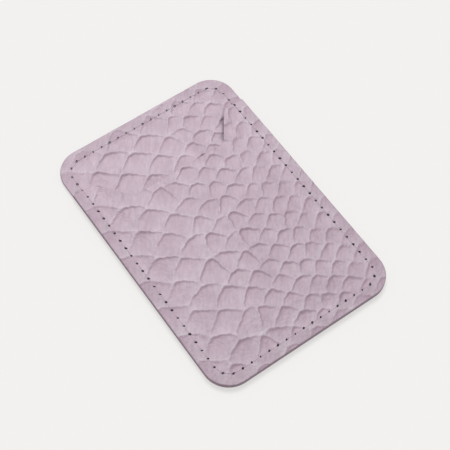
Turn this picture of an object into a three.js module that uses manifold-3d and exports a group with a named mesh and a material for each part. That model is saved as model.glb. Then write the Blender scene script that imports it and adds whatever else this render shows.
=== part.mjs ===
// A sewn leather card holder that sticks to the back of a phone.
// Two embossed leather panels and a plain lining are lockstitched together all round.
// The upper panel stops short of the top edge in a wide thumb scoop, so it forms a pocket for cards.
// Behind the lining an adhesive pad is covered by its release liner.
// Units are millimetres. X runs across the holder, Y up its length and Z out of its embossed face.
// The origin is the middle of the footprint, on the surface that the holder lies on.

import * as THREE from "three";
import { mergeVertices } from "three/addons/utils/BufferGeometryUtils.js";
import Module from "manifold-3d";

const wasm = await Module();
wasm.setup();

// Outline of the sewn leather
const holderWidth = 65;
const holderLength = 95;
const cornerRadius = 8.5;

// Thickness of each layer, from the underside up
const linerThickness = 0.1;
const padThickness = 0.4;
const liningThickness = 0.4;
const backPanelThickness = 0.7;
const pocketPanelThickness = 0.9;

// Adhesive pad and its liner, inside the seam
const padMargin = 6;
const padCornerRadius = 4;

// Lockstitch seam
const stitchInset = 3.5;
const stitchPitch = 3.15;
const threadDiameter = 0.34;
const threadDip = 0.3;
const threadRise = 0.4;
const threadClearance = 0.05;

// Thumb scoop in the top edge of the pocket panel
const scoopTopDrop = 14.2;
const scoopDepth = 11;
const scoopFloorWidth = 34.8;
const scoopMouthWidth = 50.2;
const scoopCornerRadius = 3;
const shoulderTipRadius = 0.2;

// The pocket panel stands a little proud of the back panel, which leaves room for a card to start
const pocketCrown = 0.6;
const crownRun = 9;

// Embossed scales
const scaleDepth = 0.34;
const scaleEndDepth = 0.1;
const scaleStretch = 1.28;
const ridgeWidth = 0.5;
const scaleRounding = 0.42;
const smallestScale = 4;
const shortestSide = 0.7;
const seamFlat = 0.7;
const hiddenEmboss = 2;

// The hide has columns of scales, large at the left and small at the right, that spread a little
// upwards. Each column is given by its place across the panel and the top of one of its scales, both
// from the panel's lower left corner, and by the pitch of its scales.
const pocketCut = {
  spread: 0.0018,
  spreadFrom: 15,
  columns: [
    { across: 2.3, top: 12.3, pitch: 10.3 },
    { across: 8.5, top: 17.5, pitch: 10.3 },
    { across: 14.2, top: 22.7, pitch: 10.4 },
    { across: 20.2, top: 18.6, pitch: 9.8 },
    { across: 25.8, top: 23.6, pitch: 7.25 },
    { across: 30.6, top: 19.9, pitch: 7.1 },
    { across: 35.4, top: 21.6, pitch: 6.4 },
    { across: 40.2, top: 18, pitch: 6.3 },
    { across: 44.7, top: 21.5, pitch: 6.2 },
    { across: 49.2, top: 19.2, pitch: 6.3 },
    { across: 53.4, top: 22.4, pitch: 6.4 },
    { across: 57.7, top: 19.4, pitch: 6.5 },
    { across: 62.2, top: 22.6, pitch: 6.5 },
  ],
};
const backCut = {
  spread: 0,
  spreadFrom: 80,
  columns: [
    { across: 3.8, top: 89.9, pitch: 10.2 },
    { across: 10.1, top: 84.9, pitch: 10.2 },
    { across: 16.8, top: 89.2, pitch: 9.8 },
    { across: 23.7, top: 84.7, pitch: 10.1 },
    { across: 30, top: 88.8, pitch: 9.6 },
    { across: 35.7, top: 83.8, pitch: 9.5 },
    { across: 41.4, top: 88.8, pitch: 5.9 },
    { across: 46.6, top: 86.4, pitch: 6.9 },
    { across: 50.9, top: 82.8, pitch: 6.9 },
    { across: 55.2, top: 86.4, pitch: 6.7 },
    { across: 59.6, top: 83, pitch: 6.7 },
  ],
};

// No two scales lie quite alike: each is shifted a little, by a share of its pitch
const scaleShift = 0.03;
const asideRhythm = { column: 12.9, row: 4.1 };
const alongRhythm = { column: 7.3, row: 9.7 };

// Facets
const cornerFacets = 8;
const scaleFacets = 1;
const threadSides = 3;

const underside = 0;
const padBottom = underside + linerThickness;
const liningBottom = padBottom + padThickness;
const backPanelBottom = liningBottom + liningThickness;
const pocketPanelBottom = backPanelBottom + backPanelThickness;
const pocketPanelTop = pocketPanelBottom + pocketPanelThickness;

const scoopShoulderY = holderLength / 2 - scoopTopDrop;
const scoopFloorY = scoopShoulderY - scoopDepth;
const needleSlitLength = 2 * (threadRise + threadClearance);
const needleSlitWidth = threadDiameter + 4 * threadClearance;

// A cutter reaches this far past the face that it cuts
const cutterOverrun = 1;

// The thread steps down from the pocket panel to the back panel just past the shoulders.
const threadStepY = scoopShoulderY + threadDiameter / 2 + threadClearance;

// An outline through corners that are each rounded by their own radius, anticlockwise from the first.
function roundedOutline(corners) {
  const outline = new THREE.Shape();
  corners.forEach((corner, index) => {
    const point = new THREE.Vector2(corner.x, corner.y);
    const before = corners.at(index - 1);
    const after = corners[(index + 1) % corners.length];
    const toBefore = new THREE.Vector2(before.x, before.y).sub(point).normalize();
    const toAfter = new THREE.Vector2(after.x, after.y).sub(point).normalize();
    const halfAngle = Math.acos(THREE.MathUtils.clamp(toBefore.dot(toAfter), -1, 1)) / 2;
    const tangentLength = corner.radius / Math.tan(halfAngle);
    const inward = toBefore.clone().add(toAfter).normalize();
    const centre = point.clone().addScaledVector(inward, corner.radius / Math.sin(halfAngle));
    const start = point.clone().addScaledVector(toBefore, tangentLength).sub(centre);
    const end = point.clone().addScaledVector(toAfter, tangentLength).sub(centre);
    const clockwise = toBefore.cross(toAfter) > 0;
    outline.absarc(centre.x, centre.y, corner.radius, start.angle(), end.angle(), clockwise);
  });
  outline.closePath();
  return outline;
}

// The holder's own rounded rectangle, drawn in from its edge by an inset.
function holderOutline(inset, radius = cornerRadius - inset) {
  const halfWidth = holderWidth / 2 - inset;
  const halfLength = holderLength / 2 - inset;
  return roundedOutline([
    { x: -halfWidth, y: -halfLength, radius },
    { x: halfWidth, y: -halfLength, radius },
    { x: halfWidth, y: halfLength, radius },
    { x: -halfWidth, y: halfLength, radius },
  ]);
}

// The pocket panel's outline: the holder's lower corners, two shoulders and the scoop between them.
function pocketOutline() {
  const halfWidth = holderWidth / 2;
  const halfLength = holderLength / 2;
  return roundedOutline([
    { x: -halfWidth, y: -halfLength, radius: cornerRadius },
    { x: halfWidth, y: -halfLength, radius: cornerRadius },
    { x: halfWidth, y: scoopShoulderY, radius: shoulderTipRadius },
    { x: scoopMouthWidth / 2, y: scoopShoulderY, radius: scoopCornerRadius },
    { x: scoopFloorWidth / 2, y: scoopFloorY, radius: scoopCornerRadius },
    { x: -scoopFloorWidth / 2, y: scoopFloorY, radius: scoopCornerRadius },
    { x: -scoopMouthWidth / 2, y: scoopShoulderY, radius: scoopCornerRadius },
    { x: -halfWidth, y: scoopShoulderY, radius: shoulderTipRadius },
  ]);
}

// A flat sheet cut to an outline, standing on a level.
function sheet(outline, level, thickness) {
  const options = { depth: thickness, bevelEnabled: false, curveSegments: cornerFacets };
  const geometry = new THREE.ExtrudeGeometry(outline, options);
  geometry.translate(0, 0, level);
  return geometry;
}

// three.js geometry to a solid that can be cut, and back again.
function toSolid(geometry) {
  const bare = geometry.clone();
  bare.deleteAttribute("normal");
  bare.deleteAttribute("uv");
  const welded = mergeVertices(bare);
  const vertProperties = new Float32Array(welded.attributes.position.array);
  const triVerts = new Uint32Array(welded.index.array);
  return new wasm.Manifold(new wasm.Mesh({ numProp: 3, vertProperties, triVerts }));
}

function toGeometry(solid) {
  const mesh = solid.getMesh();
  const geometry = new THREE.BufferGeometry();
  geometry.setAttribute("position", new THREE.BufferAttribute(new Float32Array(mesh.vertProperties), 3));
  geometry.setIndex(new THREE.BufferAttribute(new Uint32Array(mesh.triVerts), 1));
  geometry.computeVertexNormals();
  return geometry;
}

function joinAll(geometries) {
  const [first, ...rest] = geometries.map(toSolid);
  return rest.reduce((joined, next) => joined.add(next), first);
}

// The field inside the seam, where the leather is free to rise and the scales are pressed in.
const fieldHalfWidth = holderWidth / 2 - stitchInset - seamFlat;
const fieldHalfLength = holderLength / 2 - stitchInset - seamFlat;

// How far the pocket panel stands proud: nothing at the seam, rising evenly to a level middle.
function crownAt(x, y) {
  const fromSide = fieldHalfWidth - Math.abs(x);
  const fromFoot = y + fieldHalfLength;
  return pocketCrown * THREE.MathUtils.clamp(Math.min(fromSide, fromFoot) / crownRun, 0, 1);
}

// The raised middle as a solid standing on a level, open-ended past the mouth.
function raisedMiddle(level) {
  const raised = new THREE.BoxGeometry(2 * fieldHalfWidth, 2 * holderLength, pocketCrown);
  const position = raised.attributes.position;
  for (let index = 0; index < position.count; index += 1) {
    const upper = position.getZ(index) > 0 ? crownRun : 0;
    const x = position.getX(index);
    position.setX(index, x - Math.sign(x) * upper);
    if (position.getY(index) < 0) {
      position.setY(index, position.getY(index) + upper);
    }
  }
  raised.translate(0, holderLength - fieldHalfLength, level + pocketCrown / 2);
  return toSolid(raised);
}

// Seam: needle slits follow a line inside the edge, evenly spaced all the way round.
const seamLine = holderOutline(stitchInset);
const stitchCount = Math.round(seamLine.getLength() / stitchPitch);
const slitPlaces = seamLine.getSpacedPoints(stitchCount).slice(0, stitchCount);

function needleSlits(bottom, top) {
  const slits = slitPlaces.map((place, index) => {
    const before = slitPlaces.at(index - 1);
    const after = slitPlaces[(index + 1) % stitchCount];
    const slit = new THREE.BoxGeometry(needleSlitLength, needleSlitWidth, top - bottom);
    slit.rotateZ(after.clone().sub(before).angle());
    slit.translate(place.x, place.y, (bottom + top) / 2);
    return slit;
  });
  return joinAll(slits);
}

// The columns of a cut, carried on past its last one if the panel is wider.
function columnsAcross(cut) {
  const columns = [...cut.columns];
  while (columns.at(-1).across + columns.at(-1).pitch / 2 < holderWidth) {
    const [before, last] = columns.slice(-2);
    columns.push({ ...before, across: 2 * last.across - before.across });
  }
  return columns;
}

// The middle and the pitch of every scale of a cut, over the whole length of the panel.
function embossedScales(cut) {
  return columnsAcross(cut).flatMap(({ across, top, pitch }, column) => {
    const firstRow = -Math.floor(top / pitch);
    const lastRow = Math.ceil((holderLength - top) / pitch) + 1;
    const rows = Array.from({ length: lastRow - firstRow + 1 }, (_, index) => firstRow + index);
    return rows.map((row) => {
      const y = top + (row - 0.5) * pitch;
      const x = across * (1 + cut.spread * (y - cut.spreadFrom));
      const aside = Math.sin(asideRhythm.column * column + asideRhythm.row * row) * scaleShift * pitch;
      const along = Math.sin(alongRhythm.column * column + alongRhythm.row * row) * scaleShift * pitch;
      const middle = new THREE.Vector2(x + aside - holderWidth / 2, y + along - holderLength / 2);
      return { middle, pitch };
    });
  });
}

// The part of a convex outline on the inner side of a line, given by a point on it and its outward normal.
function trimmed(corners, point, outward) {
  const kept = [];
  corners.forEach((corner, index) => {
    const next = corners[(index + 1) % corners.length];
    const here = corner.clone().sub(point).dot(outward);
    const there = next.clone().sub(point).dot(outward);
    if (here <= 0) {
      kept.push(corner);
    }
    if (here * there < 0) {
      kept.push(corner.clone().lerp(next, here / (here - there)));
    }
  });
  return kept;
}

// The lines that bound the embossed field: its four sides and a cut across each corner.
function fieldSides() {
  const sides = [];
  const corner = new THREE.Vector2(fieldHalfWidth, fieldHalfLength);
  const chamfer = cornerRadius - stitchInset;
  for (const [x, y] of [[1, 0], [0, 1], [-1, 0], [0, -1]]) {
    sides.push({ point: new THREE.Vector2(x * corner.x, y * corner.y), outward: new THREE.Vector2(x, y) });
  }
  for (const [x, y] of [[1, 1], [-1, 1], [-1, -1], [1, -1]]) {
    const point = new THREE.Vector2(x * (corner.x - chamfer / 2), y * (corner.y - chamfer / 2));
    sides.push({ point, outward: new THREE.Vector2(x, y).normalize() });
  }
  return sides;
}

// A scale fills the space nearer to its own middle than to any neighbour's, less half a ridge.
// Lengths count for more than widths, so that each scale is a diamond with its point on the next one.
function scaleCorners(scale, scales) {
  const box = 1.5 * scale.pitch;
  let corners = [[-box, -box], [box, -box], [box, box], [-box, box]].map(
    ([x, y]) => new THREE.Vector2(scale.middle.x + x, scale.middle.y + y),
  );
  for (const other of scales) {
    const apart = other.middle.clone().sub(scale.middle);
    const distance = apart.length();
    if (distance > 0 && distance < 2 * box) {
      const share = scale.pitch / (scale.pitch + other.pitch);
      const outward = new THREE.Vector2(apart.x, apart.y * scaleStretch ** 2).normalize();
      const between = scale.middle.clone().addScaledVector(apart, share);
      corners = trimmed(corners, between.addScaledVector(outward, -ridgeWidth / 2), outward);
    }
  }
  for (const side of fieldSides()) {
    corners = trimmed(corners, side.point, side.outward);
  }
  return corners.filter((corner, index) => corner.distanceTo(corners.at(index - 1)) > shortestSide);
}

// Corners above the middle are rounded into an arch, and those below it stay sharp.
function archedOutline(corners, middleY) {
  const outline = new THREE.Shape();
  corners.forEach((corner, index) => {
    const before = corners.at(index - 1);
    const after = corners[(index + 1) % corners.length];
    const rounding = corner.y > middleY ? scaleRounding : 0;
    const start = corner.clone().lerp(before, rounding);
    const end = corner.clone().lerp(after, rounding);
    if (index === 0) {
      outline.moveTo(start.x, start.y);
    } else {
      outline.lineTo(start.x, start.y);
    }
    if (rounding > 0) {
      outline.quadraticCurveTo(corner.x, corner.y, end.x, end.y);
    }
  });
  outline.closePath();
  return outline;
}

// One scale is pressed in as a shallow pocket: deep under its arch, climbing to its lower end.
function scalePocket(scale, scales, surfaceAt) {
  const corners = scaleCorners(scale, scales);
  if (corners.length < 3 || Math.abs(THREE.ShapeUtils.area(corners)) < smallestScale) {
    return null;
  }
  const outline = archedOutline(corners, scale.middle.y);
  const options = { depth: 1, bevelEnabled: false, curveSegments: scaleFacets };
  const pocket = new THREE.ExtrudeGeometry(outline, options);
  const position = pocket.attributes.position;
  for (let index = 0; index < position.count; index += 1) {
    const x = position.getX(index);
    const y = position.getY(index);
    const climb = THREE.MathUtils.clamp((scale.middle.y - y) / scale.pitch + 0.5, 0, 1);
    const depth = THREE.MathUtils.lerp(scaleDepth, scaleEndDepth, climb);
    position.setZ(index, surfaceAt(x, y) + (position.getZ(index) > 0 ? pocketCrown : -depth));
  }
  return pocket;
}

function scaleField(cut, surfaceAt, lowestY) {
  const scales = embossedScales(cut);
  const wanted = scales.filter((scale) => scale.middle.y > lowestY);
  return joinAll(wanted.map((scale) => scalePocket(scale, scales, surfaceAt)).filter((pocket) => pocket));
}

function colouredMesh(name, geometry, color, roughness) {
  const mesh = new THREE.Mesh(geometry, new THREE.MeshStandardMaterial({ color, roughness, metalness: 0 }));
  mesh.name = name;
  return mesh;
}

function releaseLiner() {
  const outline = holderOutline(padMargin, padCornerRadius);
  return colouredMesh("release_liner", sheet(outline, underside, linerThickness), 0xf1eee6, 0.35);
}

function adhesivePad() {
  const outline = holderOutline(padMargin, padCornerRadius);
  return colouredMesh("adhesive_pad", sheet(outline, padBottom, padThickness), 0xe9e7e2, 0.6);
}

function rearLining() {
  const lining = toSolid(sheet(holderOutline(0), liningBottom, liningThickness));
  const cut = lining.subtract(needleSlits(underside, pocketPanelTop));
  return colouredMesh("rear_lining", toGeometry(cut), 0xb9a6b1, 0.8);
}

function backPanel() {
  const surface = () => pocketPanelBottom;
  const panel = toSolid(sheet(holderOutline(0), backPanelBottom, backPanelThickness));
  const embossed = panel.subtract(scaleField(backCut, surface, scoopFloorY - hiddenEmboss));
  const cut = embossed.subtract(needleSlits(underside, pocketPanelTop));
  return colouredMesh("back_panel", toGeometry(cut), 0xc2b0bb, 0.6);
}

function pocketPanel() {
  const outline = toSolid(sheet(pocketOutline(), underside, pocketPanelTop + pocketCrown + cutterOverrun));
  const flat = toSolid(sheet(pocketOutline(), pocketPanelBottom, pocketPanelThickness));
  const proud = raisedMiddle(pocketPanelTop).intersect(outline);
  const crowned = flat.add(proud).subtract(raisedMiddle(pocketPanelBottom));
  const surface = (x, y) => pocketPanelTop + crownAt(x, y);
  const embossed = crowned.subtract(scaleField(pocketCut, surface, -holderLength));
  const cut = embossed.subtract(needleSlits(underside, pocketPanelTop + cutterOverrun));
  return colouredMesh("pocket_panel", toGeometry(cut), 0xc2b0bb, 0.6);
}

// A thread's path runs straight from mark to mark, so each facet ring sits on a mark.
class ThreadPath extends THREE.Curve {
  constructor(marks) {
    super();
    this.marks = marks;
  }

  getPoint(t, target = new THREE.Vector3()) {
    const place = t * (this.marks.length - 1);
    const index = Math.min(Math.floor(place), this.marks.length - 2);
    return target.lerpVectors(this.marks[index], this.marks[index + 1], place - index);
  }

  getUtoTmapping(u) {
    return u;
  }
}

// One thread of the seam: it dips into every slit and lies on the leather between them.
// levelAt gives the height of the leather, and side is 1 above the work and -1 below it.
function seamThread(levelAt, side) {
  const proud = side * (threadClearance + threadDiameter / 2);
  const mark = (x, y, offset) => new THREE.Vector3(x, y, levelAt(y) + offset);
  const tipGap = threadDiameter / 2;
  const marks = [];
  slitPlaces.forEach((place, index) => {
    const next = slitPlaces[(index + 1) % stitchCount];
    const length = place.distanceTo(next);
    const rise = place.clone().lerp(next, threadRise / length);
    const fall = next.clone().lerp(place, threadRise / length);
    const first = index === 0 ? place.clone().lerp(next, tipGap / length) : place;
    marks.push(mark(first.x, first.y, -side * threadDip));
    marks.push(mark(rise.x, rise.y, proud));
    if (levelAt(rise.y) !== levelAt(fall.y)) {
      const upperLevel = Math.max(levelAt(rise.y), levelAt(fall.y));
      marks.push(new THREE.Vector3(rise.x, threadStepY, upperLevel + proud));
    }
    marks.push(mark(fall.x, fall.y, proud));
  });
  const last = slitPlaces[0].clone().lerp(slitPlaces.at(-1), tipGap / stitchPitch);
  marks.push(mark(last.x, last.y, -side * threadDip));

  const middle = new THREE.Vector2();
  const corners = Array.from({ length: threadSides }, (_, index) =>
    new THREE.Vector2(threadDiameter / 2, 0).rotateAround(middle, (2 * Math.PI * index) / threadSides));
  return new THREE.ExtrudeGeometry(new THREE.Shape(corners), {
    steps: marks.length - 1,
    extrudePath: new ThreadPath(marks),
  });
}

function needleThread() {
  const levelAt = (y) => (y < threadStepY ? pocketPanelTop : pocketPanelBottom);
  return colouredMesh("needle_thread", seamThread(levelAt, 1), 0xbfa9b6, 0.7);
}

function bobbinThread() {
  return colouredMesh("bobbin_thread", seamThread(() => liningBottom, -1), 0xbfa9b6, 0.7);
}

const cardHolder = new THREE.Group();
cardHolder.add(
  releaseLiner(),
  adhesivePad(),
  rearLining(),
  backPanel(),
  pocketPanel(),
  needleThread(),
  bobbinThread(),
);

export default cardHolder;
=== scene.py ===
# %% [markdown]
# A leather card holder that sticks to the back of a phone.
# Two panels of scale-embossed leather and a plain lining are sewn together all round, and the upper
# panel stops short in a wide thumb scoop, so that cards slide in behind it.
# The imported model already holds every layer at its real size. This lesson dresses it: each layer gets
# its fine surface, the seam gets twisted thread, and every material is built from nodes.

# %% Load the frame
import math

import bpy
import numpy as np
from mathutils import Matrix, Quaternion, Vector


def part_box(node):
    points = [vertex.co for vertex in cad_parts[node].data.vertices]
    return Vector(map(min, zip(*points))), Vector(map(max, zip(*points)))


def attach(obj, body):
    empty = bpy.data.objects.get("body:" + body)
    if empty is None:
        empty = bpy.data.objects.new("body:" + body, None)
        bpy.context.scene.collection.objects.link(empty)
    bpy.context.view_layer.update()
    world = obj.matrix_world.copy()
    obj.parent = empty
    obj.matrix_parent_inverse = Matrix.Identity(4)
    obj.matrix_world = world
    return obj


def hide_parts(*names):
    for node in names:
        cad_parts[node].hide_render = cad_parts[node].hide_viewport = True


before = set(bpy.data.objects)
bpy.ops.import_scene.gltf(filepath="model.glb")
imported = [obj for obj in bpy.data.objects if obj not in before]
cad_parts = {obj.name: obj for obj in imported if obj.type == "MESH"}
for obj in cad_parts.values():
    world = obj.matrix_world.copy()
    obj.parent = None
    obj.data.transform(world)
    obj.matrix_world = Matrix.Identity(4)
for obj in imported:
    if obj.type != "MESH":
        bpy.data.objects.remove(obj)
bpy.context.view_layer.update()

MM = 0.001


def box_mm(node):
    """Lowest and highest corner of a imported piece, in millimetres."""
    low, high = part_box(node)
    return np.array(low) / MM, np.array(high) / MM


back_low, back_high = box_mm("back_panel")
pocket_low, pocket_high = box_mm("pocket_panel")
lining_low, lining_high = box_mm("rear_lining")
half_width, half_length = back_high[0], back_high[1]
print("holder", 2 * half_width, "by", 2 * half_length, "mm")

# %% [markdown]
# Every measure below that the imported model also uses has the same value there, so the fine surfaces
# land on the solids they stand for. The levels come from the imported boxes.

# %% Sizes shared with the solids, in millimetres
CORNER_RADIUS = 8.5
STITCH_INSET = 3.5
STITCH_PITCH = 3.15
SEAM_FLAT = 0.7
POCKET_THICKNESS = 0.9
POCKET_CROWN = 0.6
SCOOP_DEPTH = 11.0
SCOOP_FLOOR_HALF = 17.4
SCOOP_MOUTH_HALF = 25.1
SCOOP_CORNER_RADIUS = 3.0

back_face = back_high[2]
pocket_face = pocket_low[2] + POCKET_THICKNESS
shoulder_y = pocket_high[1]
scoop_floor_y = shoulder_y - SCOOP_DEPTH
print("faces at", round(back_face, 2), "and", round(pocket_face, 2), "mm")
print("shoulders at y", round(shoulder_y, 2), "mm")

# %% [markdown]
# An operator acts on whatever is selected, a shader wants linear colours, and a material is a tree of
# nodes. These few helpers see to that in one place.

# %% Small helpers for selection, colour and nodes
def only(piece):
    """Select one object, and nothing else, so that the next operator acts on it alone."""
    if bpy.context.object and bpy.context.object.mode != "OBJECT":
        bpy.ops.object.mode_set(mode="OBJECT")
    bpy.ops.object.select_all(action="DESELECT")
    piece.select_set(True)
    bpy.context.view_layer.objects.active = piece


def linear(hex_colour):
    """An sRGB hex colour as the linear numbers that the shader wants."""
    parts = [int(hex_colour[i:i + 2], 16) / 255 for i in (1, 3, 5)]
    return tuple(p / 12.92 if p <= 0.04045 else ((p + 0.055) / 1.055) ** 2.4 for p in parts) + (1.0,)


def add_node(tree, kind, inputs=None, **settings):
    """Add a shader node. Inputs are values, or sockets of other nodes to link from."""
    node = tree.nodes.new("ShaderNode" + kind)
    for name, value in settings.items():
        setattr(node, name, value)
    for name, value in (inputs or {}).items():
        if isinstance(value, bpy.types.NodeSocket):
            tree.links.new(value, node.inputs[name])
        else:
            node.inputs[name].default_value = value
    return node


def new_material(name):
    """An empty material with a Principled shader, and its node tree."""
    material = bpy.data.materials.new(name)
    material.use_nodes = True
    return material, material.node_tree, material.node_tree.nodes["Principled BSDF"]


def smoothstep(value, low, high):
    t = np.clip((value - low) / (high - low), 0, 1)
    return t * t * (3 - 2 * t)


# %% [markdown]
# The camera looks down on the holder from beyond its lower left corner. Its place was worked out from
# the photograph's straight edges: a long lens, a third of a metre away, with a touch of roll.

# %% Camera
CAMERA_PLACE = Vector((-100.05, -137.33, 307.47)) * MM
CAMERA_TARGET = Vector((0.51, -2.41, 2.4)) * MM
CAMERA_ROLL = math.radians(1.763)
CAMERA_LENS = 90.14

camera = bpy.data.objects.new("camera", bpy.data.cameras.new("camera"))
bpy.context.collection.objects.link(camera)
camera.location = CAMERA_PLACE
camera.rotation_mode = "QUATERNION"
level_view = (CAMERA_TARGET - CAMERA_PLACE).to_track_quat("-Z", "Y")
camera.rotation_quaternion = level_view @ Quaternion((0, 0, 1), CAMERA_ROLL)
camera.data.lens = CAMERA_LENS
camera.data.sensor_width = 36
camera.data.clip_start = 0.01
bpy.context.scene.view_settings.view_transform = "Standard"
bpy.context.scene.camera = camera
print("camera", round((CAMERA_TARGET - CAMERA_PLACE).length, 3), "m from the holder")

# %% [markdown]
# Plain pale floor and soft light. The main light stands beyond the scooped end and a little to the
# right, high enough for short shadows and low enough to rake across the embossing. The pale room fills
# the shadows. The camera sees the paper floor mostly in its own plain colour, as an evenly lit backdrop
# looks, and the rest of what it sees there keeps the holder's shadow.

# %% Floor and light
FLOOR_COLOUR = "#F1F0EE"
FLOOR_LIFT = 0.68
MAIN_ELEVATION = math.radians(60)
MAIN_AZIMUTH = math.radians(62)
MAIN_STRENGTH = 2.1
MAIN_SPREAD = math.radians(28)
ROOM_COLOUR = "#F4F4F6"
FILL_STRENGTH = 0.5

bpy.ops.mesh.primitive_plane_add(size=4)
floor = bpy.context.object
floor.name = "floor"
floor_material, floor_tree, floor_shader = new_material("matte_paper_floor")
floor_shader.inputs["Base Color"].default_value = linear(FLOOR_COLOUR)
floor_shader.inputs["Roughness"].default_value = 1.0
floor_shader.inputs["Specular IOR Level"].default_value = 0.0
lifted = add_node(floor_tree, "Emission", {"Color": linear(FLOOR_COLOUR), "Strength": 1.0})
seen = add_node(floor_tree, "Math", {
    0: add_node(floor_tree, "LightPath").outputs["Is Camera Ray"], 1: FLOOR_LIFT}, operation="MULTIPLY")
floor_look = add_node(floor_tree, "MixShader", {
    "Fac": seen.outputs["Value"], 1: floor_shader.outputs["BSDF"], 2: lifted.outputs["Emission"]})
floor_tree.links.new(floor_look.outputs["Shader"], floor_tree.nodes["Material Output"].inputs["Surface"])
floor.data.materials.append(floor_material)

sun = bpy.data.objects.new("main_light", bpy.data.lights.new("main_light", "SUN"))
bpy.context.collection.objects.link(sun)
sun.data.energy = MAIN_STRENGTH
sun.data.angle = MAIN_SPREAD
towards_light = Vector((
    math.cos(MAIN_AZIMUTH) * math.cos(MAIN_ELEVATION),
    math.sin(MAIN_AZIMUTH) * math.cos(MAIN_ELEVATION),
    math.sin(MAIN_ELEVATION),
))
sun.rotation_mode = "QUATERNION"
sun.rotation_quaternion = towards_light.to_track_quat("Z", "Y")

world = bpy.data.worlds.new("pale_room")
bpy.context.scene.world = world
world.use_nodes = True
room = world.node_tree.nodes["Background"]
room.inputs["Color"].default_value = linear(ROOM_COLOUR)
room.inputs["Strength"].default_value = FILL_STRENGTH
print("main light", MAIN_STRENGTH, "and room", FILL_STRENGTH)

# %% [markdown]
# The embossing is a field of scales in staggered columns. They are large along the left edge of the
# hide and small to the right, and each fills the space nearer to its own middle than to any other.
# Here the same field that shaped the solids is worked out again, to be pressed into a fine mesh.

# %% Where the scales lie
# For each column: how far across, the top of one of its scales, and the pitch of its scales.
POCKET_COLUMNS = [
    (2.3, 12.3, 10.3), (8.5, 17.5, 10.3), (14.2, 22.7, 10.4), (20.2, 18.6, 9.8), (25.8, 23.6, 7.25),
    (30.6, 19.9, 7.1), (35.4, 21.6, 6.4), (40.2, 18, 6.3), (44.7, 21.5, 6.2), (49.2, 19.2, 6.3),
    (53.4, 22.4, 6.4), (57.7, 19.4, 6.5), (62.2, 22.6, 6.5),
]
POCKET_SPREAD, POCKET_SPREAD_FROM = 0.0018, 15
BACK_COLUMNS = [
    (3.8, 89.9, 10.2), (10.1, 84.9, 10.2), (16.8, 89.2, 9.8), (23.7, 84.7, 10.1), (30, 88.8, 9.6),
    (35.7, 83.8, 9.5), (41.4, 88.8, 5.9), (46.6, 86.4, 6.9), (50.9, 82.8, 6.9), (55.2, 86.4, 6.7),
    (59.6, 83, 6.7),
]
SCALE_SHIFT = 0.03
SCALE_STRETCH = 1.28
# How fast the shifts vary from column to column and from row to row, in radians.
ASIDE_RHYTHM = (12.9, 4.1)
ALONG_RHYTHM = (7.3, 9.7)


def scale_field(columns, spread=0.0, spread_from=0.0):
    """Middles (x, y) and pitches of all scales, in millimetres from the holder's middle."""
    scales = []
    for column, (across, top, pitch) in enumerate(columns):
        first_row = -math.floor(top / pitch)
        last_row = math.ceil((2 * half_length - top) / pitch) + 1
        for row in range(first_row, last_row + 1):
            y = top + (row - 0.5) * pitch
            x = across * (1 + spread * (y - spread_from))
            aside, along = (
                math.sin(by_column * column + by_row * row) * SCALE_SHIFT * pitch
                for by_column, by_row in (ASIDE_RHYTHM, ALONG_RHYTHM))
            scales.append((x + aside - half_width, y + along - half_length, pitch))
    return np.array(scales)


# %% [markdown]
# Each scale is a shallow dish with one steep side. Right under its round arch it drops, and from there
# it climbs all the way to the sharp crest at its lower end, gently at first and more and more steeply.
# There the next scale's arch begins. Light from the scooped end brightens the climbs, most of all the
# crests, and leaves the short drops dark.

# %% How deep the leather is pressed at a point
# Depths and runs are in millimetres. Shares and the rounding are parts of a scale's pitch or depth.
EMBOSS_DEPTH = 0.4
DROP_RUN = 0.17
LIP_RUN = 0.22
LIP_SHARE = 0.34
CLIMB_SHARE = 0.75
UNEVEN_SHARE = 0.18
UNEVEN_RHYTHM = 5.3
ARCH_ROUNDING = 0.07
CREST_START = 0.03
NEIGHBOUR_REACH = 2.2
# Each wave: its size in millimetres, how fast it turns across and along, and where it starts.
ASIDE_WAVES = [(0.3, 0.3, 0.55, 0), (0.12, 1.7, 2.1, 1)]
ALONG_WAVES = [(0.3, 0.6, -0.25, 2), (0.12, 2.3, -1.3, 0)]


def wandered(x, y):
    """The points moved a little to and fro, because no edge of a scale is quite straight."""
    aside, along = (
        sum(size * np.sin(by_x * x + by_y * y + start) for size, by_x, by_y, start in waves)
        for waves in (ASIDE_WAVES, ALONG_WAVES))
    return x + aside, y + along


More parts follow.
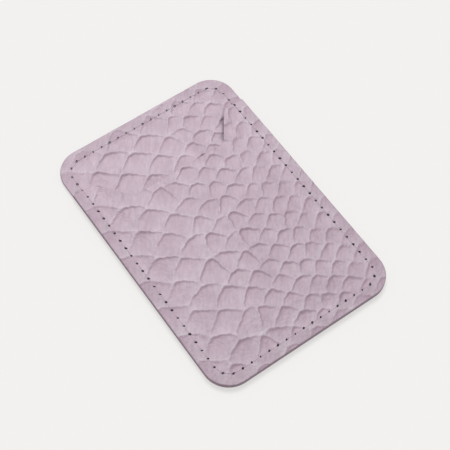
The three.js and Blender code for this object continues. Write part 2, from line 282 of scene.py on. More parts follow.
def pressed_at(x, y, scales):
    """How deep the leather is pressed, and how far each point is from the crest at its scale's lower end.

    Both run from 0 on a crest to about 1 under an arch. x and y are arrays of points in millimetres.
    """
    x, y = wandered(x, y)
    pressed, below_crest = np.zeros_like(x), np.full_like(x, CREST_START)
    for index, (mx, my, pitch) in enumerate(scales):
        near = np.flatnonzero((np.abs(x - mx) < pitch) & (np.abs(y - my) < pitch))
        if not len(near):
            continue
        apart = scales[:, :2] - (mx, my)
        distance = np.hypot(apart[:, 0], apart[:, 1])
        close = (distance > 0) & (distance < NEIGHBOUR_REACH * pitch)
        outward = apart[close] * (1, SCALE_STRETCH ** 2)
        outward /= np.hypot(outward[:, 0], outward[:, 1])[:, None]
        reach = (apart[close] * outward).sum(axis=1) * pitch / (pitch + scales[close, 2])
        beyond = (
            np.outer(x[near] - mx, outward[:, 0]) + np.outer(y[near] - my, outward[:, 1]) - reach
        )
        upper = beyond[:, outward[:, 1] > 0]
        lower = beyond[:, outward[:, 1] <= 0]
        softness = ARCH_ROUNDING * pitch
        peak = upper.max(axis=1, initial=-pitch)
        arch = peak + softness * np.log(np.exp((upper - peak[:, None]) / softness).sum(axis=1) + 1e-9)
        from_crest = np.maximum(-lower.max(axis=1, initial=-pitch), 0)
        climb = np.minimum(from_crest / (CLIMB_SHARE * pitch), 1)
        lip = 1 - np.exp(-from_crest / LIP_RUN)
        drop = 1 - np.exp(-np.maximum(-arch, 0) / DROP_RUN)
        climbed = LIP_SHARE * lip + (1 - LIP_SHARE) * climb * (2 - climb)
        uneven = 1 + UNEVEN_SHARE * math.sin(UNEVEN_RHYTHM * index)
        pressed[near] = np.maximum(pressed[near], drop * climbed * uneven)
        below_crest[near] = np.maximum(below_crest[near], from_crest / pitch * (arch < 0))
    return pressed, below_crest


# %% [markdown]
# The seam runs round inside the edge at an even inset. Each stitch goes from one slanted needle hole
# to the next, and its pull draws a slight crease into the leather.

# %% The seam line and its needle holes
seam_half = np.array([half_width - STITCH_INSET, half_length - STITCH_INSET])
seam_radius = CORNER_RADIUS - STITCH_INSET
CREASE_DEPTH = 0.04
CREASE_HALF_WIDTH = 0.42
DIMPLE_DEPTH = 0.08
DIMPLE_RADIUS = 0.6
DIMPLE_REACH = 2


def inside_rounded(x, y, half, radius):
    """Distance in from a rounded rectangle's edge, negative outside it."""
    qx = np.abs(x) - (half[0] - radius)
    qy = np.abs(y) - (half[1] - radius)
    outside = np.hypot(np.maximum(qx, 0), np.maximum(qy, 0))
    return radius - outside - np.minimum(np.maximum(qx, qy), 0)


def seam_places():
    """The needle holes, anticlockwise from the left end of the lower left corner."""
    straight = 2 * (seam_half - seam_radius)
    arc = math.pi / 2 * seam_radius
    around = 2 * straight.sum() + 4 * arc
    count = round(around / STITCH_PITCH)
    corners = [(-1, -1), (1, -1), (1, 1), (-1, 1)]
    places = []
    for index in range(count):
        along = index * around / count
        for side, (sx, sy) in enumerate(corners):
            centre = (seam_half - seam_radius) * (sx, sy)
            if along < arc:
                turn = math.pi + side * math.pi / 2 + along / seam_radius
                places.append(centre + seam_radius * np.array([math.cos(turn), math.sin(turn)]))
                break
            along -= arc
            run = straight[side % 2]
            if along < run:
                heading = side * math.pi / 2
                begin = centre + seam_radius * np.array([math.sin(heading), -math.cos(heading)])
                places.append(begin + along * np.array([math.cos(heading), math.sin(heading)]))
                break
            along -= run
    return np.array(places)


holes = seam_places()
headings = np.arctan2(*(np.roll(holes, -1, axis=0) - np.roll(holes, 1, axis=0)).T[::-1])
print(len(holes), "needle holes,", round(float(np.hypot(*(holes[1] - holes[0]))), 3), "mm apart")


def seam_pull(x, y):
    """How far the stitches draw the leather down, in millimetres."""
    aside = inside_rounded(x, y, seam_half, seam_radius)
    pull = CREASE_DEPTH * np.exp(-(aside / CREASE_HALF_WIDTH) ** 2)
    for hole_x, hole_y in holes:
        near = (np.abs(x - hole_x) < DIMPLE_REACH) & (np.abs(y - hole_y) < DIMPLE_REACH)
        away = np.hypot(x[near] - hole_x, y[near] - hole_y)
        pull[near] += DIMPLE_DEPTH * np.exp(-(away / DIMPLE_RADIUS) ** 2)
    return pull


# %% [markdown]
# The scooped edge is drawn once as a run of points with round corners. The mesh then only has to ask
# how high the panel reaches at a given place across the holder.

# %% The scoop's outline
def rounded_turn(before, corner, after, radius, steps=8):
    """Points of an arc that rounds the corner between two straight runs."""
    back = (before - corner) / np.hypot(*(before - corner))
    ahead = (after - corner) / np.hypot(*(after - corner))
    half_angle = math.acos(float(back @ ahead)) / 2
    centre = corner + (back + ahead) / np.hypot(*(back + ahead)) * radius / math.sin(half_angle)
    start = corner + back * radius / math.tan(half_angle) - centre
    end = corner + ahead * radius / math.tan(half_angle) - centre
    first = math.atan2(start[1], start[0])
    sweep = math.atan2(end[1], end[0]) - first
    sweep = (sweep + math.pi) % (2 * math.pi) - math.pi
    angles = first + sweep * np.linspace(0, 1, steps + 1)
    return centre + radius * np.column_stack([np.cos(angles), np.sin(angles)])


scoop_floor_middle = np.array([0.0, scoop_floor_y])
scoop_floor_corner = np.array([SCOOP_FLOOR_HALF, scoop_floor_y])
scoop_shoulder_corner = np.array([SCOOP_MOUTH_HALF, shoulder_y])
scoop_tip = np.array([half_width, shoulder_y])
scoop_line = np.vstack([
    scoop_floor_middle,
    rounded_turn(scoop_floor_middle, scoop_floor_corner, scoop_shoulder_corner, SCOOP_CORNER_RADIUS),
    rounded_turn(scoop_floor_corner, scoop_shoulder_corner, scoop_tip, SCOOP_CORNER_RADIUS),
    scoop_tip,
])
print("scoop drawn with", len(scoop_line), "points on each side")


def holder_reach(x):
    """How far from the middle line the holder's rounded ends reach, at a place across it."""
    into_corner = np.clip(np.abs(x) - (half_width - CORNER_RADIUS), 0, CORNER_RADIUS)
    return half_length - CORNER_RADIUS + np.sqrt(CORNER_RADIUS ** 2 - into_corner ** 2)


def pocket_reach(x):
    return np.interp(np.abs(x), scoop_line[:, 0], scoop_line[:, 1])


def from_scoop(x, y):
    """Distance in from the scooped edge, in millimetres."""
    best = np.full_like(x, np.inf)
    for start, end in zip(scoop_line[:-1], scoop_line[1:]):
        run = end - start
        along = np.clip(((np.abs(x) - start[0]) * run[0] + (y - start[1]) * run[1]) / (run @ run), 0, 1)
        gap = np.hypot(np.abs(x) - start[0] - along * run[0], y - start[1] - along * run[1])
        best = np.minimum(best, gap)
    return best


# %% [markdown]
# Each layer starts as a flat grid primitive. Its vertices are moved on to the layer's outline, closer
# together at the rims, and then pressed to the height of the leather. Extruding the whole grid down
# gives the layer its thickness, and the lower copy is smoothed to the plain flesh side. A bump map could
# fake the scales, but it would leave the outline flat and wouldn't be in the mesh.

# %% Grid stations and the layer function
CORNER_COLUMNS = 22
RIM_STEPS = np.array([0.0, 0.07, 0.16, 0.28, 0.45])
ARRIS = 0.22


def column_stations(spacing):
    """Places across the holder: even in the middle, and even round the arcs of the corners."""
    flat_half = half_width - CORNER_RADIUS
    inner = np.linspace(-flat_half, flat_half, round(2 * flat_half / spacing) + 1)
    turn = np.linspace(0, math.pi / 2, CORNER_COLUMNS + 1)[1:]
    right = flat_half + CORNER_RADIUS * np.sin(turn)
    return np.concatenate([-right[::-1], inner, right])


def row_stations(length, spans):
    """Shares of the length, from spans of (end, spacing) in millimetres, with close steps at both rims."""
    marks = list(RIM_STEPS)
    for end, spacing in spans:
        start = marks[-1]
        marks += list(np.linspace(start, end, max(1, round((end - start) / spacing)) + 1)[1:])
    marks += list(length - RIM_STEPS[::-1])
    return np.array(marks) / length


def leather_layer(name, columns, rows, low_edge, high_edge, top_height, under_height):
    """A closed layer whose outline lies between two edges and whose faces follow two height functions."""
    bpy.ops.object.select_all(action="DESELECT")
    bpy.ops.mesh.primitive_grid_add(x_subdivisions=len(columns) - 1, y_subdivisions=len(rows) - 1, size=1)
    layer = bpy.context.object
    layer.name = name
    count = len(layer.data.vertices)
    places = np.empty(count * 3)
    layer.data.vertices.foreach_get("co", places)
    places = places.reshape(-1, 3)
    column = np.rint((places[:, 0] + 0.5) * (len(columns) - 1)).astype(int)
    row = np.rint((places[:, 1] + 0.5) * (len(rows) - 1)).astype(int)
    x = columns[column]
    y = low_edge(x) + (high_edge(x) - low_edge(x)) * rows[row]

    only(layer)
    bpy.ops.object.mode_set(mode="EDIT")
    bpy.ops.mesh.select_all(action="SELECT")
    bpy.ops.mesh.extrude_region_move(TRANSFORM_OT_translate={"value": (0, 0, -MM)})
    bpy.ops.object.mode_set(mode="OBJECT")
    total = len(layer.data.vertices)
    assert total == 2 * count
    top, below_crest, tone = top_height(x, y)
    finished = np.column_stack([np.tile(x, 2), np.tile(y, 2), np.concatenate([top, under_height(x, y)])])
    layer.data.vertices.foreach_set("co", (finished * MM).ravel())
    for attribute, values in (("below_crest", below_crest), ("tone", tone)):
        stored = layer.data.attributes.new(attribute, "FLOAT", "POINT")
        stored.data.foreach_set("value", np.concatenate([values, np.ones(count)]))
    layer.data.update()

    bpy.ops.object.mode_set(mode="EDIT")
    bpy.ops.mesh.select_all(action="SELECT")
    bpy.ops.mesh.normals_make_consistent(inside=False)
    bpy.ops.object.mode_set(mode="OBJECT")
    return layer


def arris_drop(distance):
    """How far a cut arris is rounded off, by the distance in from the edge."""
    missing = np.clip(ARRIS - distance, 0, ARRIS)
    return ARRIS - np.sqrt(ARRIS ** 2 - missing ** 2)


# %% [markdown]
# Leather takes the embossing fully inside the seam and only faintly in the margin, where the edge was
# pressed and trimmed. The pocket panel also stands a little proud of the panel behind it, because the
# cards have stretched it.

# %% How much of the embossing shows, and the pocket's crown
MARGIN_SHARE = 0.35
MARGIN_FADE = (-0.2, 1.4)
CROWN_RUN = 11.0
pocket_scales = scale_field(POCKET_COLUMNS, POCKET_SPREAD, POCKET_SPREAD_FROM)
back_scales = scale_field(BACK_COLUMNS)
print(len(pocket_scales), "and", len(back_scales), "scales in the two panels' fields")


def emboss_share(x, y):
    """1 inside the seam and less in the margin."""
    inside = smoothstep(inside_rounded(x, y, seam_half, seam_radius), *MARGIN_FADE)
    return MARGIN_SHARE + (1 - MARGIN_SHARE) * inside


def crown(x, y):
    """How far the pocket panel stands off the back panel."""
    from_side = seam_half[0] - SEAM_FLAT - np.abs(x)
    from_foot = y + seam_half[1] - SEAM_FLAT
    return POCKET_CROWN * smoothstep(np.minimum(from_side, from_foot), 0, CROWN_RUN)


# %% [markdown]
# The leather's colour is darker in the margin, and painted shade darkens it slightly towards the foot.
# Thumbs have lifted the pocket's lip along the right slope of the scoop and a little at the left
# shoulder, so gaps show there. They are made as shallow grooves in the back panel, darkened with painted
# shade.

# %% Tone of the leather, painted shade, and the gaps under the pocket's lip
# Tones and painted shades are shares of the plain dye. Lengths, and the places along y, are in millimetres.
MARGIN_TONE = 0.93
TONE_FADE = (-1.0, 0.6)
# Painted shade: darker towards the foot, and darker still in the gaps under the lip.
FOOT_PAINTED_SHADE = 0.88
GAP_PAINTED_SHADE = 0.48
GAP_DEPTH = 0.22
GAP_WIDTH = 0.66
GAP_NARROW_SHARE = 0.5
GAP_MIDDLES = (25.6, 30.9)
GAP_HALF_LENGTH = 1.1
GAP_ENDS = (23.6, 32.0)
GAP_END_FADE = 0.8
SHOULDER_GAP_PLACE = 1.7
SHOULDER_GAP_HALF_LENGTH = 0.8
SHOULDER_GAP_OFF = 0.55
SHOULDER_GAP_WIDTH = 0.35


def darkened(tone, share):
    """The tone where share is 1, and the plain dye's 1 where it is 0."""
    return 1 - (1 - tone) * share


def margin_tone_and_painted_shade(x, y):
    """1 for the plain dye, less in the margin, and less towards the foot as painted shade."""
    margin = 1 - smoothstep(inside_rounded(x, y, seam_half, seam_radius), *TONE_FADE)
    foot = smoothstep(y, half_length, -half_length)
    return darkened(MARGIN_TONE, margin) * darkened(FOOT_PAINTED_SHADE, foot)


def lip_gap(x, y):
    """Groove and painted shade: 1 in the gaps at the scoop's right slope and left shoulder, fading to 0
    around them.
    """
    beside = from_scoop(x, y)
    lifted = sum(np.exp(-((y - middle) / GAP_HALF_LENGTH) ** 2) for middle in GAP_MIDDLES)
    width = GAP_WIDTH * (GAP_NARROW_SHARE + np.minimum(lifted, 1))
    first, last = GAP_ENDS
    ends = smoothstep(y, first, first + GAP_END_FADE) * smoothstep(y, last, last - GAP_END_FADE)
    slope = (x > 0) * np.exp(-(beside / width) ** 2) * ends
    from_middle = (x + half_width - SHOULDER_GAP_PLACE) / SHOULDER_GAP_HALF_LENGTH
    off_edge = (beside - SHOULDER_GAP_OFF) / SHOULDER_GAP_WIDTH
    shoulder = np.exp(-from_middle ** 4 - off_edge ** 2) * (y > shoulder_y)
    return np.maximum(slope, shoulder)


# %% [markdown]
# Bending has left short creases in the back panel, most of them near its corners. Each is a run of
# points (x, y) in millimetres, and a shallow groove follows it.

# %% Creases from bending
BEND_CREASES = [
    [(-24.4, 36.9), (-21.0, 35.6), (-17.7, 32.3)], [(-27.0, 34.5), (-24.2, 33.8), (-21.1, 31.9)],
    [(-8.7, 26.1), (-6.8, 24.1), (-5.6, 22.6)], [(-11.6, 25.9), (-8.7, 24.5), (-7.1, 22.8)],
    [(20.8, 43.0), (22.5, 41.6), (23.7, 39.4)], [(25.2, 41.6), (24.7, 40.1)], [(27.2, 40.7), (27.4, 38.2)],
    [(15.6, 38.2), (17.5, 37.6), (18.0, 36.1)], [(19.7, 35.4), (21.7, 34.9), (22.3, 33.6)],
    [(11.3, 42.4), (12.8, 41.3), (13.5, 39.5)],
]
BEND_CREASE_DEPTH = 0.12
BEND_CREASE_HALF_WIDTH = 0.36


def bend_creases(x, y):
    """How deep the creases from bending are."""
    x, y = wandered(x, y)
    nearest = np.full_like(x, np.inf)
    for crease in BEND_CREASES:
        for start, end in zip(crease[:-1], crease[1:]):
            run = np.subtract(end, start)
            along = np.clip(((x - start[0]) * run[0] + (y - start[1]) * run[1]) / (run @ run), 0, 1)
            away = np.hypot(x - start[0] - along * run[0], y - start[1] - along * run[1])
            nearest = np.minimum(nearest, away)
    return BEND_CREASE_DEPTH * np.exp(-(nearest / BEND_CREASE_HALF_WIDTH) ** 2)


# %% [markdown]
# A face is a height for each point: its level, less the embossing, the pull of the seam and the rounded
# arris of the cut edge. Each face also says how far a point is from its scale's crest, and its tone,
# which holds the painted shade.
# The back panel is plain where the pocket hides it.

# %% Faces of the two panels
# Measured up from the scoop's floor, in millimetres.
HIDDEN_FADE = (-3.0, -1.5)


def pocket_top(x, y):
    pressed, below_crest = pressed_at(x, y, pocket_scales)
    pressed = pressed * emboss_share(x, y)
    edge = np.minimum(inside_rounded(x, y, (half_width, half_length), CORNER_RADIUS), from_scoop(x, y))
    height = pocket_face + crown(x, y) - EMBOSS_DEPTH * pressed - seam_pull(x, y) - arris_drop(edge)
    return height, below_crest, margin_tone_and_painted_shade(x, y)


def pocket_under(x, y):
    return pocket_low[2] + crown(x, y)


def back_top(x, y):
    pressed, below_crest = pressed_at(x, y, back_scales)
    pressed = pressed * emboss_share(x, y)
    gap = lip_gap(x, y)
    edge = inside_rounded(x, y, (half_width, half_length), CORNER_RADIUS)
    shown = smoothstep(y - scoop_floor_y, *HIDDEN_FADE)
    sewn = (y > shoulder_y) * (seam_pull(x, y) + arris_drop(edge))
    height = back_face - shown * EMBOSS_DEPTH * pressed - sewn - GAP_DEPTH * gap - bend_creases(x, y)
    # The gaps under the lip get painted shade on top of the leather's tone.
    return height, below_crest, margin_tone_and_painted_shade(x, y) * darkened(GAP_PAINTED_SHADE, gap)


def back_under(x, y):
    return np.full_like(x, back_low[2])


# %% [markdown]
# Both panels have the same columns across, so their cut edges lie flush. The back panel's rows are far
# apart where the pocket hides them and close together where its scales show.

# %% Make the two embossed panels
COLUMN_SPACING = 0.34
POCKET_SPACING = 0.36
BACK_SPACING = 0.34
HIDDEN_SPACING = 2.5
HIDDEN_SHORT_OF_SCOOP = 4
RIM_BAND = 0.6

columns = column_stations(COLUMN_SPACING)
pocket_length = half_length + shoulder_y
pocket_rows = row_stations(pocket_length, [(pocket_length - RIM_BAND, POCKET_SPACING)])
pocket_panel = leather_layer(
    "pocket_panel_leather", columns, pocket_rows,
    lambda x: -holder_reach(x), pocket_reach, pocket_top, pocket_under)

hidden_end = half_length + scoop_floor_y - HIDDEN_SHORT_OF_SCOOP
back_rows = row_stations(
    2 * half_length, [(hidden_end, HIDDEN_SPACING), (2 * half_length - RIM_BAND, BACK_SPACING)])
back_panel = leather_layer(
    "back_panel_leather", columns, back_rows,
    lambda x: -holder_reach(x), holder_reach, back_top, back_under)
for panel in (pocket_panel, back_panel):
    print(panel.name, len(panel.data.polygons), "faces")

# %% [markdown]
# The lining is plain. Only the seam draws it in, from below, and its soft edge is less rounded than the
# leather's.

# %% Make the lining
LINING_COLUMN_SPACING = 0.8
LINING_ROW_SPACING = 0.6
LINING_SHARE = 0.6

lining_columns = column_stations(LINING_COLUMN_SPACING)
lining_rows = row_stations(2 * half_length, [(2 * half_length - RIM_BAND, LINING_ROW_SPACING)])


def lining_top(x, y):
    return np.full_like(x, lining_high[2]), np.ones_like(x), np.ones_like(x)


def lining_under(x, y):
    edge = inside_rounded(x, y, (half_width, half_length), CORNER_RADIUS)
    return lining_low[2] + LINING_SHARE * (seam_pull(x, y) + arris_drop(edge))


lining = leather_layer(
    "rear_lining_cloth", lining_columns, lining_rows,
    lambda x: -holder_reach(x), holder_reach, lining_top, lining_under)

# %% [markdown]
# A leather needle cuts a slanted slit rather than a round hole. One cutter is modelled and copied to
# every stitch, and a Boolean takes them all out of each layer at once. Dark dots on the face would be
# quicker, but the thread has to go down into real holes.

# %% Punch the needle holes
HOLE_LENGTH = 0.76
HOLE_WIDTH = 0.54
HOLE_VARIATION = 0.2
HOLE_RHYTHM = 4.7
HOLE_SLANT = math.radians(38)
CUTTER_SIDES = 10
CUTTER_LENGTH = 8
CUTTER_MIDDLE = 2


def needle_cutters():
    """Upright cutters for all needle holes, as one object.

    The first is one millimetre wide, so that the scale of each copy is its size in millimetres.
    """
    bpy.ops.object.select_all(action="DESELECT")
    bpy.ops.mesh.primitive_cylinder_add(
        vertices=CUTTER_SIDES, radius=0.5 * MM, depth=CUTTER_LENGTH * MM)
    first = bpy.context.object
    for index, ((hole_x, hole_y), heading) in enumerate(zip(holes, headings)):
        needle = first
        if index:
            needle = first.copy()
            needle.data = first.data.copy()
            bpy.context.collection.objects.link(needle)
        size = 1 + HOLE_VARIATION * math.sin(HOLE_RHYTHM * index)
        needle.location = (hole_x * MM, hole_y * MM, CUTTER_MIDDLE * MM)
        needle.rotation_euler = (0, 0, heading + HOLE_SLANT)
        needle.scale = (size * HOLE_LENGTH, size * HOLE_WIDTH, 1)
        needle.select_set(True)
    bpy.context.view_layer.objects.active = first
    bpy.context.view_layer.update()
    bpy.ops.object.join()
    return first


cutter = needle_cutters()
for layer in (pocket_panel, back_panel, lining):
    only(layer)
    punch = layer.modifiers.new("needle_holes", "BOOLEAN")
    punch.operation = "DIFFERENCE"
    punch.solver = "EXACT"
    punch.object = cutter
    bpy.ops.object.modifier_apply(modifier=punch.name)
    print(layer.name, len(layer.data.polygons), "faces after punching")
bpy.data.objects.remove(cutter)

# %% [markdown]
# Cut edges are flat walls and the faces are rolling leather, so shading is smoothed only where faces
# meet at a small angle, and the walls get the material of the cut edge.

# %% Shade the layers and find their cut edges
SMOOTH_BELOW = math.radians(50)
# A face is a wall where the upward part of its normal is smaller than this.
UPRIGHT_BELOW = 0.35

for layer in (pocket_panel, back_panel, lining):
    only(layer)
    bpy.ops.object.shade_smooth_by_angle(angle=SMOOTH_BELOW)


def mark_cut_edges(layer):
    """Give the second material slot to faces that stand more or less upright at the outline."""
    mesh = layer.data
    normals = np.empty(len(mesh.polygons) * 3)
    mesh.polygons.foreach_get("normal", normals)
    upright = np.abs(normals.reshape(-1, 3)[:, 2]) < UPRIGHT_BELOW
    mesh.polygons.foreach_set("material_index", upright.astype(np.int32))
    mesh.update()
    print(layer.name, int(upright.sum()), "edge faces")


# %% [markdown]
# The needle holes get painted shade. A value on each vertex notes where they are, so that the thread
# and the cut leather are painted darker there.

# %% Note where the needle holes are
# Painted shade in the needle holes, as a share of the colour.
HOLE_PAINTED_SHADE = 0.72
HOLE_REACH = 0.56


def shade_holes(piece):
    """Give each vertex the painted shade of the needle holes if it is in one, and 1 if it isn't."""
    places = np.empty(len(piece.data.vertices) * 3)
    piece.data.vertices.foreach_get("co", places)
    places = places.reshape(-1, 3)[:, :2] / MM
    nearest = np.full(len(places), np.inf)
    for hole in holes:
        nearest = np.minimum(nearest, np.hypot(*(places - hole).T))
    stored = piece.data.attributes.new("hole_painted_shade", "FLOAT", "POINT")
    stored.data.foreach_set("value", np.where(nearest < HOLE_REACH, HOLE_PAINTED_SHADE, 1.0))


# %% [markdown]
# The sewing thread is three plies twisted together. Each ply is a curve that winds round the path of
# the seam: it lies in the crease between two holes and dives into each hole. One round cord with a
# striped colour could stand for it, but only real plies catch the light one by one.

# %% Thread path and plies
PLIES = 3
PLY_RADIUS = 0.066
PLY_ORBIT = 0.06
TWIST_PITCH = 1.15
STEPS_PER_STITCH = 16
THREAD_SEAT = 0.03
THREAD_DIVE = 0.85
DIVE_RUN = 0.6
STEP_START = 0.15
STEP_DOWN = 0.8


def seam_path(level_at, side):
    """Points along a seam thread. side is 1 on the face and -1 on the back."""
    share = np.arange(STEPS_PER_STITCH) / STEPS_PER_STITCH
    ahead = np.roll(holes, -1, axis=0) - holes
    places = (holes[:, None] + ahead[:, None] * share[:, None]).reshape(-1, 2)
    to_hole = (np.hypot(*ahead.T)[:, None] * np.minimum(share, 1 - share)).ravel()
    dive = THREAD_DIVE * (1 - smoothstep(to_hole, 0, DIVE_RUN))
    level = level_at(places[:, 0], places[:, 1]) + side * (THREAD_SEAT - dive)
    return np.column_stack([places, level])


def twisted_thread(name, path):
    """Plies wound round a closed path, as one mesh."""
    ahead = np.roll(path, -1, axis=0) - np.roll(path, 1, axis=0)
    ahead /= np.linalg.norm(ahead, axis=1)[:, None]
    across = np.cross(ahead, (0, 0, 1))
    across /= np.linalg.norm(across, axis=1)[:, None]
    above = np.cross(across, ahead)
    steps = np.linalg.norm(np.roll(path, -1, axis=0) - path, axis=1)
    turns = round(steps.sum() / TWIST_PITCH)
    along = np.concatenate([[0], np.cumsum(steps)[:-1]]) / steps.sum()
    curve = bpy.data.curves.new(name, "CURVE")
    curve.dimensions = "3D"
    curve.bevel_depth = PLY_RADIUS * MM
    curve.bevel_resolution = 1
    for ply in range(PLIES):
        angle = 2 * math.pi * (along * turns + ply / PLIES)
        ring = np.cos(angle)[:, None] * across + np.sin(angle)[:, None] * above
        points = (path + PLY_ORBIT * ring) * MM
        spline = curve.splines.new("POLY")
        spline.points.add(len(points) - 1)
        spline.points.foreach_set("co", np.column_stack([points, np.ones(len(points))]).ravel())
        spline.use_cyclic_u = True
    thread = bpy.data.objects.new(name, curve)
    bpy.context.collection.objects.link(thread)
    only(thread)
    bpy.ops.object.convert(target="MESH")
    thread = bpy.context.object
    bpy.ops.object.shade_smooth()
    print(thread.name, len(thread.data.polygons), "faces")
    return thread


def face_level(x, y):
    """Height of the sewn face: the thread slants down just past the pocket panel's shoulders."""
    past = np.clip((y - shoulder_y - STEP_START) / STEP_DOWN, 0, 1)
    return pocket_top(x, y)[0] * (1 - past) + back_top(x, y)[0] * past


needle_thread = twisted_thread("needle_thread_plies", seam_path(face_level, 1))
bobbin_thread = twisted_thread("bobbin_thread_plies", seam_path(lining_under, -1))
for piece in (needle_thread, bobbin_thread, pocket_panel, back_panel):
    shade_holes(piece)

# %% [markdown]
# The leather is chrome-tanned and dyed through in lilac, with a light wax finish: a fairly soft
# reflection over a slightly mottled colour. Each scale gets a painted highlight, paler on its crest and
# climb, and painted shade, darker and pinker towards its arch. A fine hair-cell grain covers it all,
# with faint streaks that are drawn coarser than real ones, so that they show in the render.

# %% Embossed leather
# Painted highlight on each scale's crest and climb, and painted shade in the leather colour towards its
# arch.
CREST_PAINTED_HIGHLIGHT = "#CDBEC8"
CLIMB_PAINTED_HIGHLIGHT = "#BDAAB6"
LEATHER_COLOUR = "#B095A5"
LEATHER_DEEP = "#AB92A1"
LEATHER_ROUGHNESS = 0.46
STREAK_WIDTH = 0.9 * MM
STREAK_SQUEEZE = 0.3
STREAK_HEADING = math.radians(56)
STREAK_TONE = 0.09
GRAIN_CELL = 0.32 * MM
WRINKLE = 1.1 * MM
MOTTLE = 7 * MM


def embossed_leather():
    material, tree, shader = new_material("waxed_lilac_leather")
    place = add_node(tree, "TexCoord").outputs["Object"]
    below_crest = add_node(tree, "Attribute", attribute_name="below_crest").outputs["Fac"]
    # The tone holds the margin's darker colour and the painted shade towards the foot and in the gaps.
    tone = add_node(tree, "Attribute", attribute_name="tone").outputs["Fac"]
    mottle = add_node(tree, "TexNoise", {
        "Vector": place, "Scale": 1 / MOTTLE, "Detail": 5.0, "Roughness": 0.6})
    # Painted highlight and painted shade, graded from the crest towards the arch.
    painted_highlight_and_shade = add_node(tree, "ValToRGB", {"Fac": below_crest})
    ramp = painted_highlight_and_shade.color_ramp
    ramp.elements[0].position, ramp.elements[0].color = 0.0, linear(CREST_PAINTED_HIGHLIGHT)
    ramp.elements[1].position, ramp.elements[1].color = 0.75, linear(LEATHER_COLOUR)
    ramp.elements.new(0.06).color = linear(CLIMB_PAINTED_HIGHLIGHT)
    mottled = add_node(tree, "MixRGB", {
        "Fac": add_node(tree, "MapRange", {
            "Value": mottle.outputs["Fac"], "From Min": 0.4, "From Max": 0.75, "To Max": 0.6,
        }).outputs["Result"],
        "Color1": painted_highlight_and_shade.outputs["Color"],
        "Color2": linear(LEATHER_DEEP),
    })
    turned = add_node(tree, "VectorRotate", {
        "Vector": place, "Angle": -STREAK_HEADING}, rotation_type="Z_AXIS")
    drawn_out = add_node(tree, "VectorMath", {
        0: turned.outputs["Vector"], 1: (STREAK_SQUEEZE, 1, 1)}, operation="MULTIPLY")
    streaks = add_node(tree, "TexNoise", {
        "Vector": drawn_out.outputs["Vector"], "Scale": 1 / STREAK_WIDTH, "Detail": 3.0})
    streaked = add_node(tree, "MapRange", {
        "Value": streaks.outputs["Fac"], "From Min": 0.3, "From Max": 0.7,
        "To Min": 1 - STREAK_TONE, "To Max": 1 + STREAK_TONE})
    toned = add_node(tree, "Math", {0: tone, 1: streaked.outputs["Result"]}, operation="MULTIPLY")
    dyed = add_node(tree, "VectorMath", {
        0: mottled.outputs["Color"], "Scale": toned.outputs["Value"]}, operation="SCALE")
    tree.links.new(dyed.outputs["Vector"], shader.inputs["Base Color"])
    shader.inputs["Specular IOR Level"].default_value = 0.5
    shine = add_node(tree, "MapRange", {
        "Value": mottle.outputs["Fac"],
        "To Min": LEATHER_ROUGHNESS - 0.05, "To Max": LEATHER_ROUGHNESS + 0.08,
    })
    tree.links.new(shine.outputs["Result"], shader.inputs["Roughness"])
    cells = add_node(tree, "TexVoronoi", {"Vector": place, "Scale": 1 / GRAIN_CELL}, feature="F1")
    creases = add_node(tree, "TexNoise", {"Vector": place, "Scale": 1 / WRINKLE, "Detail": 4.0})
    grain = add_node(tree, "Bump", {
        "Strength": 0.25, "Distance": 0.03 * MM, "Height": cells.outputs["Distance"]})
    wrinkles = add_node(tree, "Bump", {
        "Strength": 0.8, "Distance": 0.2 * MM,
        "Height": creases.outputs["Fac"], "Normal": grain.outputs["Normal"],
    })
    tree.links.new(wrinkles.outputs["Normal"], shader.inputs["Normal"])
    return material


# %% [markdown]
# A cut edge shows the leather's fibres. The dye goes right through; the edge is given a darker colour
# than the face, and it is quite matte.

# %% Cut edge
EDGE_COLOUR = "#A8949E"
EDGE_DARK = "#8F7A85"
FIBRE = 0.12 * MM


def darker_in_holes(tree, colour):
    """The colour darkened by the painted shade of the needle holes."""
    tone = add_node(tree, "Attribute", attribute_name="hole_painted_shade").outputs["Fac"]
    return add_node(tree, "VectorMath", {0: colour, "Scale": tone}, operation="SCALE").outputs["Vector"]


def cut_edge():
    material, tree, shader = new_material("cut_leather_edge")
    place = add_node(tree, "TexCoord").outputs["Object"]
    fibres = add_node(tree, "TexNoise", {"Vector": place, "Scale": 1 / FIBRE, "Detail": 3.0})
    colour = add_node(tree, "MixRGB", {
        "Fac": fibres.outputs["Fac"], "Color1": linear(EDGE_DARK), "Color2": linear(EDGE_COLOUR)})
    tree.links.new(darker_in_holes(tree, colour.outputs["Color"]), shader.inputs["Base Color"])
    shader.inputs["Roughness"].default_value = 0.9
    shader.inputs["Specular IOR Level"].default_value = 0.2
    bump = add_node(tree, "Bump", {"Strength": 0.5, "Distance": 0.05 * MM, "Height": fibres.outputs["Fac"]})
    tree.links.new(bump.outputs["Normal"], shader.inputs["Normal"])
    return material


# %% [markdown]
# The lining is a brushed microfibre, a felted cloth with a very short nap: matte, with a faint sheen at
# grazing angles and tiny tufts. The thread is bonded polyester, smooth filaments twisted hard, so it is
# paler than the leather and shines a little more than the cloth. The pad is white foam tape, matte with
# fine cells, and its release paper is coated, so it is the smoothest and glossiest of them. All four
# are one colour with a fine grain, so one function makes them from their own numbers.

# %% Lining cloth, thread, foam and release paper
LINING_COLOUR = "#AD9BA6"
THREAD_COLOUR = "#CBB8C4"
FOAM_COLOUR = "#E8E6E1"
PAPER_COLOUR = "#EFEBE1"


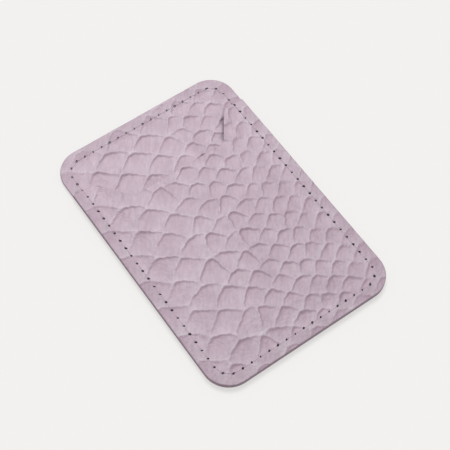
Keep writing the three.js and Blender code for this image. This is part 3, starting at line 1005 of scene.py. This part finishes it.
def plain_finish(name, colour, variation, roughness, grain_size, bump_strength, bump_depth,
                 sheen=0.0, in_holes=False):
    """A finish with one colour, slight variation and a fine relief of a real size."""
    material, tree, shader = new_material(name)
    place = add_node(tree, "TexCoord").outputs["Object"]
    grain = add_node(tree, "TexNoise", {"Vector": place, "Scale": 1 / grain_size, "Detail": 4.0})
    tone = add_node(tree, "MapRange", {
        "Value": grain.outputs["Fac"], "To Min": 1 - variation, "To Max": 1 + variation})
    colours = add_node(tree, "HueSaturation", {"Value": tone.outputs["Result"], "Color": linear(colour)})
    varied = colours.outputs["Color"]
    tree.links.new(darker_in_holes(tree, varied) if in_holes else varied, shader.inputs["Base Color"])
    shader.inputs["Roughness"].default_value = roughness
    shader.inputs["Specular IOR Level"].default_value = 0.3
    shader.inputs["Sheen Weight"].default_value = sheen
    bump = add_node(tree, "Bump", {
        "Strength": bump_strength, "Distance": bump_depth, "Height": grain.outputs["Fac"]})
    tree.links.new(bump.outputs["Normal"], shader.inputs["Normal"])
    return material


leather = embossed_leather()
edge = cut_edge()
microfibre = plain_finish(
    "brushed_microfibre", LINING_COLOUR, variation=0.12, roughness=0.95, grain_size=0.25 * MM,
    bump_strength=0.5, bump_depth=0.06 * MM, sheen=0.2)
polyester = plain_finish(
    "twisted_polyester", THREAD_COLOUR, variation=0.1, roughness=0.6, grain_size=0.08 * MM,
    bump_strength=0.3, bump_depth=0.02 * MM, sheen=0.1, in_holes=True)
foam = plain_finish(
    "white_foam_tape", FOAM_COLOUR, variation=0.05, roughness=0.8, grain_size=0.15 * MM,
    bump_strength=0.4, bump_depth=0.04 * MM)
paper = plain_finish(
    "coated_release_paper", PAPER_COLOUR, variation=0.03, roughness=0.35, grain_size=0.5 * MM,
    bump_strength=0.15, bump_depth=0.02 * MM)
for material in (leather, edge, microfibre, polyester, foam, paper):
    print("material", material.name, "with", len(material.node_tree.nodes), "nodes")

# %% [markdown]
# Each fine piece takes the place of its packed one and rides on the same body. The pad and the release
# paper are plain slabs already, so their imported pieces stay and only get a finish.

# %% Dress the pieces
for panel in (pocket_panel, back_panel):
    panel.data.materials.clear()
    panel.data.materials.append(leather)
    panel.data.materials.append(edge)
    mark_cut_edges(panel)
lining.data.materials.clear()
lining.data.materials.append(microfibre)
for thread in (needle_thread, bobbin_thread):
    thread.data.materials.clear()
    thread.data.materials.append(polyester)
for node, finish in (("adhesive_pad", foam), ("release_liner", paper)):
    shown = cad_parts[node]
    shown.data.materials.clear()
    shown.data.materials.append(finish)

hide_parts("pocket_panel")
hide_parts("back_panel")
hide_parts("rear_lining")
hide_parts("needle_thread")
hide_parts("bobbin_thread")
for piece in (pocket_panel, back_panel, lining, needle_thread, bobbin_thread):
    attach(piece, "root")
